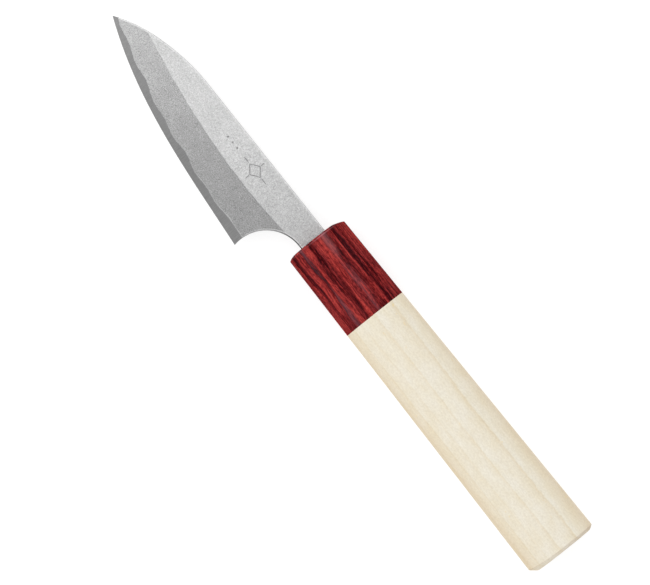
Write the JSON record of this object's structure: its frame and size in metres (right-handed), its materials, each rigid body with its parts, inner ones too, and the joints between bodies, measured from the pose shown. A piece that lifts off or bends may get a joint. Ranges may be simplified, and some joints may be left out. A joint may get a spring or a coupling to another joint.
{
  "type": "boning knife",
  "caption": "Short fixed-blade knife with a bevelled three-layer blade, a round choil, an oval wooden handle and a coloured ferrule.",
  "frame": {"origin": "under the middle of the knife's outline, on the surface it lies on", "axes": "+X along the handle's axis from tip to butt, +Y from the cutting edge to the spine, +Z out of the blade's left face, up as the knife lies on its right side"},
  "size_m": [0.2128, 0.0322, 0.0185],
  "materials": {
    "core_steel": "hard carbon steel, finely ground, darker than the cladding",
    "cladding_steel": "soft steel with a fine satin grain, lighter on the flat than on the bevel",
    "ferrule_wood": "dyed laminated wood, red with near-black streaks, polished to a low gloss",
    "handle_wood": "bare pale whitewood, sanded smooth, faint tan grain",
    "resin": "brown set resin, matte"
  },
  "bodies": {
    "root": {"blade_core": "core_steel", "blade_cladding_left": "cladding_steel", "blade_cladding_right": "cladding_steel", "ferrule": "ferrule_wood", "handle_body": "handle_wood", "tang_adhesive": "resin"}
  },
  "joints": []
}
